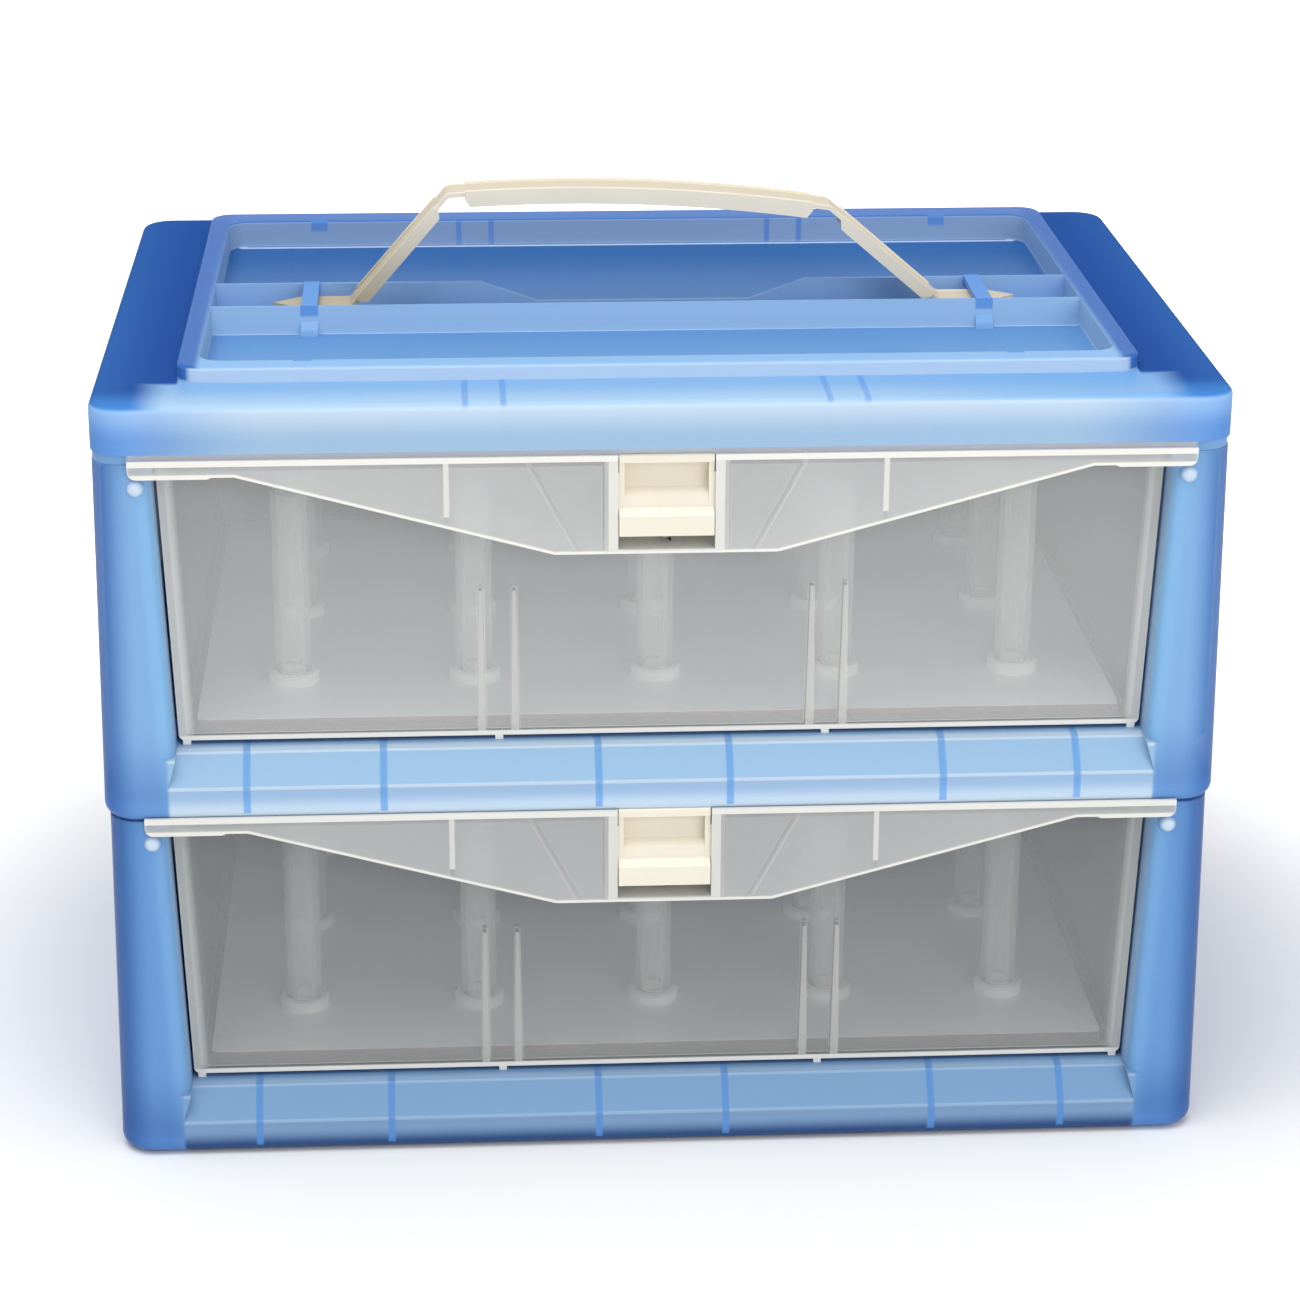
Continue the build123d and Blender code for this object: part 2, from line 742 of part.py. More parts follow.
def strap_rails(start, end, setback_start, setback_end, depth, arch=0.0):
    """Works the two side rails of a strap piece, which stop short of its folds, into the part."""
    length = sqrt((end[0] - start[0]) ** 2 + (end[1] - start[1]) ** 2)
    angle = degrees(atan2(end[1] - start[1], end[0] - start[0]))
    half = web_thickness / 2
    rise = arch / (length / 2) ** 2

    def arched(s, drop):
        """The point a distance s along the piece, below its top face by drop."""
        return (s, half - drop + rise * s * (length - s))

    for inner, outer in ((-web_width / 2 - rail_proud, -web_width / 2 - rail_proud + rail_width),
                         (web_width / 2 + rail_proud - rail_width, web_width / 2 + rail_proud)):
        plane = Plane(origin=(start[0], channel_y + inner, start[1]),
                      x_dir=(cos(radians(angle)), 0, sin(radians(angle))), z_dir=(0, -1, 0))
        first = setback_start
        last = length - setback_end
        with BuildSketch(plane) as outline:
            with BuildLine():
                if arch:
                    top = ThreePointArc(arched(first, rail_drop), arched(length / 2, rail_drop),
                                        arched(last, rail_drop))
                    low = ThreePointArc(arched(last - rail_end_chamfer, depth),
                                        arched(length / 2, depth),
                                        arched(first + rail_end_chamfer, depth))
                else:
                    top = Line(arched(first, rail_drop), arched(last, rail_drop))
                    low = Line(arched(last - rail_end_chamfer, depth),
                               arched(first + rail_end_chamfer, depth))
                middle_drop = (rail_drop + depth) / 2
                Line(top @ 1, arched(last, middle_drop))
                Line(arched(last, middle_drop), low @ 0)
                Line(low @ 1, arched(first, middle_drop))
                Line(arched(first, middle_drop), top @ 0)
            make_face()
        extrude(outline.sketch, amount=-(outer - inner))


def strap_web(start, end, gap_start, gap_end, arch=0.0):
    """Works the thin web of a strap piece between two fold lines into the part."""
    length = sqrt((end[0] - start[0]) ** 2 + (end[1] - start[1]) ** 2)
    angle = degrees(atan2(end[1] - start[1], end[0] - start[0]))
    half = web_thickness / 2
    plane = Plane(origin=(start[0], channel_y - web_width / 2, start[1]),
                  x_dir=(cos(radians(angle)), 0, sin(radians(angle))), z_dir=(0, -1, 0))
    first = gap_start
    last = length - gap_end
    with BuildSketch(plane) as outline:
        with BuildLine():
            if arch:
                top = ThreePointArc((first, half), (length / 2, half + arch), (last, half))
                low = ThreePointArc((last, -half), (length / 2, -half + arch), (first, -half))
            else:
                top = Line((first, half), (last, half))
                low = Line((last, -half), (first, -half))
            Line(top @ 1, low @ 0)
            Line(low @ 1, top @ 0)
        make_face()
    extrude(outline.sketch, amount=-web_width)


def foot_place(end, side):
    """The fold at a leg's foot, which stands at foot height at the leg's length from its top."""
    drop = end[1] - foot_height
    return (end[0] + side * sqrt(leg_length ** 2 - drop ** 2), foot_height)


def make_handle():
    """The strap handle's five stiff pieces: grip, two legs and two tabs."""
    pieces = {}
    with BuildPart() as grip:
        strap_web(grip_left, grip_right, fold_gap, fold_gap, arch=grip_arch)
        strap_rails(grip_left, grip_right, rail_setback_top, rail_setback_top,
                    grip_rail_depth, arch=grip_arch)
    pieces["handle_grip"] = grip.part

    for name, end, side in (("left", grip_left, -1), ("right", grip_right, 1)):
        foot = foot_place(end, side)
        start, finish = (foot, end) if side < 0 else (end, foot)
        setbacks = (rail_setback_foot, rail_setback_top)
        if side > 0:
            setbacks = (rail_setback_top, rail_setback_foot)
        with BuildPart() as leg:
            strap_web(start, finish, fold_gap, fold_gap)
            strap_rails(start, finish, *setbacks, leg_rail_depth)
        pieces["handle_leg_" + name] = leg.part

        root = abs(foot[0]) + fold_gap
        with BuildPart() as tab:
            with BuildSketch(Plane.XY.offset(foot_height - web_thickness / 2)) as outline:
                with BuildLine():
                    Polyline(
                        (side * root, channel_y - web_width / 2),
                        (side * tab_shoulder_x, channel_y - web_width / 2),
                        (side * tab_tip_x, channel_y),
                        (side * tab_shoulder_x, channel_y + web_width / 2),
                        (side * root, channel_y + web_width / 2),
                        close=True)
                make_face()
            extrude(outline.sketch, amount=web_thickness)
        pieces["handle_tab_" + name] = tab.part
    for name, piece in pieces.items():
        piece.label = name
    return pieces


os.makedirs("parts", exist_ok=True)

lid_part = make_lid()
export_step(lid_part, "parts/lid.step")

for tier_name, tier_base in (("lower", 0.0), ("upper", tier_pitch)):
    made = [
        make_tier(tier_name + "_tier_shell", tier_base),
        make_drawer(tier_name + "_drawer", tier_base),
        make_latch_slider(tier_name + "_latch_slider", tier_base),
        make_latch_spring(tier_name + "_latch_spring", tier_base),
        make_insert_plate(tier_name + "_insert_plate", tier_base),
    ]
    for row_number, row_name in enumerate(post_rows):
        for column_number in range(post_columns):
            post_name = f"{tier_name}_post_{row_name}_{column_number + 1}"
            made.append(make_post(post_name, tier_base, column_number, row_number))
    for piece_part in made:
        export_step(piece_part, f"parts/{piece_part.label}.step")

for piece_name, piece_part in make_handle().items():
    export_step(piece_part, f"parts/{piece_name}.step")
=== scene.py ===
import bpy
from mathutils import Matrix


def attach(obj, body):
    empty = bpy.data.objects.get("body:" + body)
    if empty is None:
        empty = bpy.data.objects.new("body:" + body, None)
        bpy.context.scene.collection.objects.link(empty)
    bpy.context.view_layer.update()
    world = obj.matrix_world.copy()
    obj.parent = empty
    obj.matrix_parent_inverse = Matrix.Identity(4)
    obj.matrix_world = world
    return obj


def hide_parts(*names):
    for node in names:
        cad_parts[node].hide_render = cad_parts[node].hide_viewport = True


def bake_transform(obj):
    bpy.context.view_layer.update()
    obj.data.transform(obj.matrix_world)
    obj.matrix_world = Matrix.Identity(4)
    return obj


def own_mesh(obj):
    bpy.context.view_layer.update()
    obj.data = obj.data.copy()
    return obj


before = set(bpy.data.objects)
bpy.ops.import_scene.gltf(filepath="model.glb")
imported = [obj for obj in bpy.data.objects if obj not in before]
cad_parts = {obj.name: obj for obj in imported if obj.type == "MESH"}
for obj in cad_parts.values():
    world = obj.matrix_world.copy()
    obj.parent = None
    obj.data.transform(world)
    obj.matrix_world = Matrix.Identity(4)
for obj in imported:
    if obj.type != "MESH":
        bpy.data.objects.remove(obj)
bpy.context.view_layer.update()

from math import cos, pi, radians, sin

import bpy
import numpy as np
from mathutils import Matrix, Vector

# Thread storage box: two stacked drawer tiers under a lid with a folding strap handle.
# Metres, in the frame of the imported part: X right, Y back, Z up, the floor at 0.

# Sizes that the looks share with the solids
tier_pitch = 0.11255
case_middle_y = 0.00035

# Lid: skirt, ledge, platform, tray and the handle's channel
lid_half = 0.1680
lid_front = -0.1150
skirt_bottom = 0.2286
ledge_height = 0.2431
tray_floor = 0.2390
platform_half = 0.1435
platform_face = -0.0908
tray_half = 0.1370
tray_front = -0.0834
tray_back = 0.0895
channel_y = -0.0072
channel_half = 0.0132
channel_foot = -0.0227
bridge_x = 0.1064
lid_rib_places = (0.0476, 0.0587)

# Tier shells: pillars beside the opening, and the rail below it
tier_front = -0.11445
pillar_outer = 0.1694
pillar_lean = 0.0140
pillar_inner = 0.1470
opening_slope = 0.0412
rail_half = 0.1485
rail_top = 0.0202
ridge_height = 0.0108
rail_rib_places = (0.0199, 0.0848, 0.1259)
pip_x = 0.1549
pip_height = 0.1054

# The thin ring on the upper tier's shoulder, under the lid's skirt
seat_half_width = 0.1676
seat_half_depth = 0.11300
seat_corner = 0.0088
seat_wall = 0.0012
seat_low = 0.22512
seat_high = 0.2288

# Drawers: front panel, and the hood with its apron
panel_front = -0.10185
drawer_bottom = 0.0218
drawer_half_low = 0.1463
drawer_slope = 0.0392
divider_rib_places = (0.0448, 0.0549)
divider_rib_top = 0.0686
visor_front = -0.11515
visor_half = 0.1560
visor_low = 0.0839
visor_low_half = 0.0330
visor_slope_half = 0.1260
visor_end_low = 0.1091
visor_lip_low = 0.1122
visor_rib_x = 0.0646
visor_rib_low = 0.0958
diagonal_rib_low_x = 0.0258
diagonal_rib_lean = 0.531
housing_half = 0.0170

# Insert plates and latches
plate_top = 0.0262
plate_half = 0.1415
plate_front = -0.0964
slider_bottom = 0.0894
latch_front = -0.11565
spring_y = -0.1069
spring_radius = 0.0019
spring_wire = 0.00045
spring_low = 0.0851
spring_high = 0.0963
spring_turns = 6.5

# Strap handle: the places of its four folds, as x and z
web_thickness = 0.0013
web_width = 0.014
grip_left = (-0.0626, 0.2806)
grip_right = (0.0576, 0.2756)
grip_arch = 0.0033
foot_left = (-0.093741, 0.2446)
foot_right = (0.093721, 0.2446)
fold_reach = 0.0012

# Widths of the faint patches that moulding, casting and drawing leave in each material
shell_patch = 0.056
drawer_patch = 0.071
acrylic_patch = 0.0167
latch_patch = 0.0083
strap_patch = 0.0167
draw_mark = 0.0004

# Floor: a sheet just below the box, which glows white away from it
floor_half = 6.0
floor_drop = 0.0004
glow_start = 0.20
glow_full = 0.50

# Camera, fitted to the edges of the lid and the tiers
camera_yaw = -3.5595
camera_pitch = 20.606
camera_roll = -0.2844
camera_lens = 96.0
camera_place = (-0.06477, -1.07935, 0.52929)


def linear(hex_colour):
    """An sRGB hex colour as linear red, green, blue and full alpha."""
    channels = [int(hex_colour[i:i + 2], 16) / 255 for i in (1, 3, 5)]
    return tuple(c / 12.92 if c <= 0.04045 else ((c + 0.055) / 1.055) ** 2.4
                 for c in channels) + (1.0,)


def add_node(tree, kind, settings=None, **links):
    """Adds one node; its settings are properties, and its links are values or other nodes' sockets."""
    made = tree.nodes.new(kind)
    for key, value in (settings or {}).items():
        setattr(made, key, value)
    for key, value in links.items():
        name = key.replace("_", " ")
        socket = made.inputs[int(key[1:])] if key[0] == "i" and key[1:].isdigit() else made.inputs[name]
        if isinstance(value, bpy.types.NodeSocket):
            tree.links.new(value, socket)
        else:
            socket.default_value = value
    return made


def new_material(name):
    """An empty node material with a Principled shader wired to its output."""
    material = bpy.data.materials.new(name)
    material.use_nodes = True
    tree = material.node_tree
    tree.nodes.clear()
    shader = add_node(tree, "ShaderNodeBsdfPrincipled")
    output = add_node(tree, "ShaderNodeOutputMaterial")
    tree.links.new(shader.outputs["BSDF"], output.inputs["Surface"])
    return material, tree, shader


def calc(tree, operation, a, b=0.0):
    """One sum, product or comparison of numbers."""
    return add_node(tree, "ShaderNodeMath", {"operation": operation}, i0=a, i1=b).outputs[0]


def ease(tree, value, start, end):
    """Rises smoothly from 0 to 1 while value goes from start to end."""
    made = add_node(tree, "ShaderNodeMapRange", {"interpolation_type": "SMOOTHSTEP"},
                    Value=value, From_Min=start, From_Max=end)
    return made.outputs[0]


def blend_colour(tree, share, first, second):
    """Mixes two colours by a share."""
    return add_node(tree, "ShaderNodeMix", {"data_type": "RGBA"}, i0=share, i6=first, i7=second).outputs[2]


def lower(tree, value, start, end):
    """Falls smoothly from 1 to 0 while value goes from start to end."""
    return calc(tree, "SUBTRACT", 1.0, ease(tree, value, start, end))


def stripe(tree, value, middle, half, soft=0.0004):
    """1 where value lies within half of the middle, with soft borders, and 0 elsewhere."""
    gap = calc(tree, "ABSOLUTE", calc(tree, "SUBTRACT", value, middle))
    return lower(tree, gap, half - soft / 2, half + soft / 2)


def times(tree, *shares):
    """The product of several shares."""
    product = shares[0]
    for share in shares[1:]:
        product = calc(tree, "MULTIPLY", product, share)
    return product


def most(tree, *shares):
    """The greatest of several shares."""
    greatest = shares[0]
    for share in shares[1:]:
        greatest = calc(tree, "MAXIMUM", greatest, share)
    return greatest


def place_of(tree):
    """The object coordinates of the surface, and its x, y, z and size of x apart."""
    where = add_node(tree, "ShaderNodeTexCoord").outputs["Object"]
    split = add_node(tree, "ShaderNodeSeparateXYZ", Vector=where)
    x, y, z = split.outputs
    return where, x, y, z, calc(tree, "ABSOLUTE", x)


def facing_up(tree):
    """1 where the surface faces straight up, 0 where it is upright."""
    normal = add_node(tree, "ShaderNodeTexCoord").outputs["Normal"]
    return add_node(tree, "ShaderNodeSeparateXYZ", Vector=normal).outputs["Z"]


def patches(tree, where, width, detail=2.0):
    """Soft random patches between 0 and 1, of a given width in metres."""
    noise = add_node(tree, "ShaderNodeTexNoise", Vector=where, Scale=1.0 / width, Detail=detail)
    return noise.outputs["Fac"]


def moulded_bump(tree, shader, where, pitch, depth):
    """A faint moulding unevenness with a given spacing and depth in metres."""
    uneven = patches(tree, where, pitch)
    bump = add_node(tree, "ShaderNodeBump", Strength=0.4, Distance=depth, Height=uneven)
    tree.links.new(bump.outputs["Normal"], shader.inputs["Normal"])


def blue_polypropylene_tier(name, base, shade):
    """Injection-moulded blue polypropylene, translucent, for a tier whose base stands at a height.

    Pillars are palest along their middle and deepen towards the outer edge, where the eye looks
    along the wall and the rounded corner is painted in shade, and towards the foot. The pillar's
    inner edge and the return wall in the gap beside the drawer are painted lighter against the
    shade there, and the pip below the hood's end carries a painted highlight. Painted highlight
    lines run along the rail's ridge and top edge, and the rail's lower edge is painted pale on the
    upper tier and in dark shade on the lower one. Ribs behind the front rail show as narrow brighter
    stripes, and the shoulder is painted palest over the drawer's hood, against the shade under the
    lid's skirt.
    """
    material, tree, shader = new_material(name)
    where, _, y, z, side = place_of(tree)
    height = calc(tree, "SUBTRACT", z, base)

    cloud = patches(tree, where, shell_patch, detail=1.0)
    wall = blend_colour(tree, cloud, linear(shade["wall"]), linear(shade["wall_deep"]))

    lean = calc(tree, "MULTIPLY", height, -pillar_lean)
    from_outer = calc(tree, "SUBTRACT", calc(tree, "ADD", lean, pillar_outer), side)
    above_rail = calc(tree, "SUBTRACT", height, rail_top + 0.0002)
    widen = calc(tree, "MULTIPLY", above_rail, opening_slope)
    from_inner = calc(tree, "SUBTRACT", side, calc(tree, "ADD", widen, pillar_inner))
    # Painted shade: the pillar deepens towards its rounded outer corner, besides the grazing view there
    pillar = blend_colour(tree, ease(tree, from_outer, -0.001, 0.0125),
                          linear(shade["pillar_edge"]), linear(shade["pillar"]))
    # Painted light: the inner edge, and the return wall deep in the gap beside the drawer, are lighter
    # against the shade there
    pillar = blend_colour(tree, lower(tree, from_inner, 0.0000, 0.0075), pillar,
                          linear(shade["pillar_inner"]))
    deep = times(tree, ease(tree, y, tier_front + 0.0030, tier_front + 0.0060),
                 lower(tree, from_inner, 0.0030, 0.0060))
    pillar = blend_colour(tree, deep, pillar, linear("#a9cdf2"))
    pillar = blend_colour(tree, times(tree, lower(tree, height, 0.0040, 0.0320), 0.5), pillar,
                          linear(shade["pillar_edge"]))
    # Painted highlight: a pale spot on the small pip just below the end of the hood
    to_pip = add_node(tree, "ShaderNodeVectorMath", {"operation": "DISTANCE"},
                      i0=add_node(tree, "ShaderNodeCombineXYZ", X=side, Y=height).outputs[0],
                      i1=(pip_x, pip_height, 0.0)).outputs["Value"]
    pillar = blend_colour(tree, lower(tree, to_pip, 0.0014, 0.0030), pillar, linear("#d3e4f6"))

    # The rail's lower edge: a painted highlight on the upper tier, painted dark shade on the lower tier near
    # the floor
    band = blend_colour(tree, ease(tree, height, 0.0025, 0.0085),
                        linear(shade["band_low"]), linear(shade["band"]))
    on_slope = ease(tree, height, ridge_height - 0.0001, ridge_height + 0.0003)
    rail = blend_colour(tree, on_slope, band, linear(shade["slope"]))
    # Painted highlight lines along the rail's ridge and its rounded top edge
    ridge = most(tree, stripe(tree, height, ridge_height, 0.0005),
                 stripe(tree, height, rail_top - 0.0004, 0.0005))
    rail = blend_colour(tree, times(tree, ridge, 0.6), rail, linear(shade["line"]))
    ribs = most(tree, *[stripe(tree, side, place, 0.0011, 0.0007) for place in rail_rib_places])
    ribs = times(tree, ribs, ease(tree, height, 0.0024, 0.0030), 0.75)
    rail = blend_colour(tree, ribs, rail, linear(shade["rib"]))

    in_rail = lower(tree, side, rail_half, rail_half + 0.0015)
    low_down = lower(tree, height, rail_top, rail_top + 0.0010)
    front = blend_colour(tree, times(tree, in_rail, low_down), pillar, rail)
    to_front = lower(tree, y, tier_front + 0.010, tier_front + 0.018)
    colour = blend_colour(tree, to_front, wall, front)
    # Painted light: the shoulder over the hood, and the seat band in this finish, are pale against the shade
    # under the lid's skirt
    over_hood = lower(tree, side, visor_half, visor_half + 0.0015)
    shoulder = blend_colour(tree, over_hood, linear(shade["pillar"]), linear("#e6e9f2"))
    at_shoulder = ease(tree, height, tier_pitch - 0.00015, tier_pitch + 0.00015)
    colour = blend_colour(tree, at_shoulder, colour, shoulder)
    tree.links.new(colour, shader.inputs["Base Color"])
    shader.inputs["Roughness"].default_value = 0.32
    shader.inputs["IOR"].default_value = 1.49
    shader.inputs["Specular IOR Level"].default_value = 0.14
    see = calc(tree, "ADD", 0.84, times(tree, lower(tree, height, 0.0040, 0.0100), 0.13))
    tree.links.new(see, shader.inputs["Alpha"])
    moulded_bump(tree, shader, where, 0.030, 0.0004)
    return material


def blue_polypropylene_lid():
    """The same blue polypropylene for the lid, with painted light and shade: pale along the front,
    where light comes through, and deep in painted shade over the side ledges and towards the back
    of the tray. The skirt is painted lighter towards its top and in shade round the corners, the
    platform's front face is painted lighter than its sides, and painted highlight lines run along
    the feet of the tray's walls, with the ribs beneath showing as narrow stripes."""
    material, tree, shader = new_material("blue polypropylene lid")
    where, x, y, z, side = place_of(tree)
    upward = ease(tree, facing_up(tree), 0.3, 0.8)

    # Painted light on the skirt, lighter towards its top edge, and painted shade round the corners
    up_skirt = ease(tree, z, skirt_bottom + 0.0034, ledge_height - 0.0006)
    skirt_front = blend_colour(tree, up_skirt, linear("#a0bfdd"), linear("#c6dbee"))
    skirt_side = blend_colour(tree, up_skirt, linear("#5c90d6"), linear("#8ab6ea"))
    at_corner = ease(tree, side, lid_half - 0.053, lid_half + 0.002)
    skirt = blend_colour(tree, at_corner, skirt_front, skirt_side)

    # Painted light and shade on the ledges: pale at the front where light comes through, darker towards the
    # right, deep shade over the sides and towards the back
    behind = ease(tree, y, platform_face - 0.0030, platform_face + 0.0010)
    beside = ease(tree, side, platform_half - 0.0010, platform_half)
    to_side = most(tree, ease(tree, side, platform_half + 0.0005, platform_half + 0.0125),
                   times(tree, behind, beside))
    to_back = ease(tree, y, -0.08, 0.10)
    inward = ease(tree, y, lid_front + 0.0010, lid_front + 0.0190)
    ledge_front = blend_colour(tree, inward, linear("#a9cbea"), linear("#86b4e2"))
    to_right = times(tree, ease(tree, x, 0.020, 0.150), 0.7)
    ledge_front = blend_colour(tree, to_right, ledge_front, linear("#6ea8e2"))
    ledge_side = blend_colour(tree, ease(tree, side, lid_half - 0.0180, lid_half - 0.0010),
                              linear("#2a529a"), linear("#3561a8"))
    near_front = lower(tree, y, lid_front + 0.0020, lid_front + 0.0190)
    ledge_side = blend_colour(tree, near_front, ledge_side, linear("#4480c8"))
    ledge = blend_colour(tree, to_side, ledge_front, ledge_side)
    ledge = blend_colour(tree, times(tree, to_back, 0.4), ledge, linear("#2b59a2"))
    ribs = most(tree, *[stripe(tree, side, place, 0.0009, 0.0006) for place in lid_rib_places])
    ledge = blend_colour(tree, times(tree, ribs, 0.45), ledge, linear("#3f86dc"))

    # Painted shade on the tray floor, deeper towards the back; painted highlight lines along the feet of the
    # channel's front wall and the tray's rear wall
    floor = blend_colour(tree, ease(tree, y, -0.060, 0.070), linear("#6a9cd4"), linear("#3268aa"))
    in_channel = stripe(tree, y, channel_y, channel_half, 0.0006)
    floor = blend_colour(tree, in_channel, floor, linear("#6d9dd4"))
    feet = most(tree, stripe(tree, y, channel_foot, 0.0004, 0.0002),
                stripe(tree, y, tray_back - 0.0010, 0.0006))
    floor = blend_colour(tree, times(tree, feet, 0.8), floor, linear("#cfe0f4"))
    top = blend_colour(tree, lower(tree, z, tray_floor + 0.0008, tray_floor + 0.0022), ledge, floor)
    # Painted light and shade on the platform's rim: pale at the front, deep at the back and the sides
    rim = blend_colour(tree, to_back, linear("#8db9e6"), linear("#3f74c0"))
    side_rim = ease(tree, side, tray_half - 0.0012, tray_half + 0.0018)
    rim = blend_colour(tree, side_rim, rim, linear("#386cba"))
    top = blend_colour(tree, ease(tree, z, ledge_height + 0.0007, ledge_height + 0.0039), top, rim)

    # Painted light: the platform's front face is paler than its sides
    face_front = lower(tree, y, platform_face + 0.0004, platform_face + 0.0016)
    band = blend_colour(tree, face_front, linear("#4179c8"), linear("#c6dcf2"))
    high = ease(tree, z, ledge_height + 0.0001, ledge_height + 0.0009)
    outer = blend_colour(tree, high, skirt, band)
    colour = blend_colour(tree, upward, outer, top)

    inside = times(tree, lower(tree, side, tray_half + 0.0025, tray_half + 0.0035),
                   ease(tree, y, tray_front - 0.0026, tray_front - 0.0016),
                   lower(tree, y, tray_back + 0.0015, tray_back + 0.0025))
    walls = blend_colour(tree, ease(tree, y, -0.030, 0.000), linear("#a8cbea"), linear("#97bbe6"))
    rear = ease(tree, y, tray_back - 0.0095, tray_back - 0.0015)
    walls = blend_colour(tree, rear, walls, linear("#93aed2"))
    walls = blend_colour(tree, times(tree, ribs, rear, 0.6), walls, linear("#3f86dc"))
    bridge = times(tree, stripe(tree, side, bridge_x, 0.0028, 0.0004),
                   ease(tree, z, ledge_height + 0.0009, ledge_height + 0.0021))
    inner = blend_colour(tree, upward, walls, top)
    inner = blend_colour(tree, times(tree, bridge, 0.7), inner, linear("#4a8ee0"))
    colour = blend_colour(tree, inside, colour, inner)
    tree.links.new(colour, shader.inputs["Base Color"])
    shader.inputs["Roughness"].default_value = 0.34
    shader.inputs["IOR"].default_value = 1.49
    gloss = calc(tree, "SUBTRACT", 0.05, times(tree, to_side, upward, 0.05))
    tree.links.new(gloss, shader.inputs["Specular IOR Level"])
    see = calc(tree, "ADD", 0.88, times(tree, to_side, 0.09))
    tree.links.new(see, shader.inputs["Alpha"])
    moulded_bump(tree, shader, where, 0.030, 0.0004)
    return material


def apron_marks(tree, side, height):
    """Where the hood's apron looks whitest: its lip, painted as a highlight, its lower edge, the ribs behind
    it and the housing.
    """
    share = add_node(tree, "ShaderNodeMapRange", Value=side, From_Min=visor_low_half,
                     From_Max=visor_slope_half, To_Min=visor_low, To_Max=visor_end_low).outputs[0]
    edge = lower(tree, calc(tree, "SUBTRACT", height, share), 0.0006, 0.0014)
    # Painted highlight along the lip
    lip = ease(tree, height, visor_lip_low - 0.0001, visor_lip_low + 0.0003)
    upright = times(tree, stripe(tree, side, visor_rib_x, 0.0009, 0.0006),
                    ease(tree, height, visor_rib_low - 0.0005, visor_rib_low + 0.0005), 0.85)
    lean = calc(tree, "MULTIPLY", calc(tree, "SUBTRACT", height, visor_low), diagonal_rib_lean)
    diagonal = stripe(tree, calc(tree, "SUBTRACT", side, lean), diagonal_rib_low_x, 0.0009, 0.0006)
    housing = times(tree, stripe(tree, side, housing_half - 0.0006, 0.0022, 0.0008), 0.6)
    return most(tree, edge, lip, upright, times(tree, diagonal, 0.5), housing)


def panel_marks(tree, side, height):
    """Where a drawer's front panel looks whitest: its edges and the tapered ribs behind it."""
    above = calc(tree, "SUBTRACT", height, drawer_bottom)
    half = calc(tree, "ADD", calc(tree, "MULTIPLY", above, drawer_slope), drawer_half_low)
    inward = calc(tree, "SUBTRACT", half, side)
    side_edge = times(tree, lower(tree, inward, 0.0010, 0.0080), 0.7)
    low_edge = lower(tree, above, 0.0012, 0.0020)
    shrink = calc(tree, "MULTIPLY", above, 0.015)
    ribs = []
    for place in divider_rib_places:
        gap = calc(tree, "ABSOLUTE", calc(tree, "SUBTRACT", side, place))
        ribs.append(lower(tree, calc(tree, "ADD", gap, shrink), 0.0011, 0.0016))
    rib = times(tree, most(tree, *ribs), lower(tree, height, divider_rib_top - 0.0005, divider_rib_top), 0.6)
    return most(tree, side_edge, low_edge, rib)


def clear_polypropylene(name, base, shade):
    """Natural, uncoloured polypropylene, moulded thin: a milky haze that lets shapes show through,
    whiter edges where the wall is seen end on, painted as highlights, and grey walls and floor inside
    the drawer that are painted shade."""
    material, tree, shader = new_material(name)
    where, _, y, z, side = place_of(tree)
    height = calc(tree, "SUBTRACT", z, base)
    cloud = patches(tree, where, drawer_patch)
    haze = blend_colour(tree, cloud, linear(shade["haze"]), linear(shade["haze_deep"]))
    on_apron = lower(tree, y, visor_front + 0.0014, visor_front + 0.0020)
    on_hood = lower(tree, y, panel_front - 0.0010, panel_front - 0.0004)
    on_panel = lower(tree, y, panel_front + 0.0022, panel_front + 0.0030)
    in_housing = times(tree, on_panel, lower(tree, side, housing_half, housing_half + 0.0006),
                       ease(tree, height, visor_low - 0.0005, visor_low))

    # Painted highlights along the edges, where a rounded normal parts from the true one
    edge_normal = add_node(tree, "ShaderNodeBevel", {"samples": 4}, Radius=0.0009)
    true_normal = add_node(tree, "ShaderNodeNewGeometry").outputs["Normal"]
    alike = add_node(tree, "ShaderNodeVectorMath", {"operation": "DOT_PRODUCT"},
                     i0=edge_normal.outputs[0], i1=true_normal).outputs["Value"]
    edge = times(tree, ease(tree, calc(tree, "SUBTRACT", 1.0, alike), 0.01, 0.12), 0.8)
    panel_only = calc(tree, "SUBTRACT", on_panel, on_hood)
    marks = most(tree, edge, times(tree, on_apron, apron_marks(tree, side, height)),
                 times(tree, panel_only, panel_marks(tree, side, height)), times(tree, in_housing, 0.85))

    # Painted shade: the drawer's inside walls and floor are grey, the floor paler than the walls
    above_floor = ease(tree, height, drawer_bottom + 0.0022, drawer_bottom + 0.0042)
    inside = blend_colour(tree, above_floor, linear(shade["floor"]), linear(shade["inside"]))
    haze = blend_colour(tree, times(tree, on_hood, 0.7), haze, linear("#cfd1d1"))
    plain = blend_colour(tree, on_panel, inside, haze)
    colour = blend_colour(tree, marks, plain, linear(shade["white"]))
    tree.links.new(colour, shader.inputs["Base Color"])
    see = add_node(tree, "ShaderNodeMapRange", Value=on_panel, To_Min=0.72, To_Max=shade["milk"]).outputs[0]
    see = calc(tree, "ADD", see, times(tree, on_hood, shade["hood"]))
    tree.links.new(calc(tree, "MAXIMUM", see, times(tree, marks, 0.92)), shader.inputs["Alpha"])
    shader.inputs["Roughness"].default_value = 0.25
    shader.inputs["IOR"].default_value = 1.49
    shader.inputs["Specular IOR Level"].default_value = 0.35
    return material


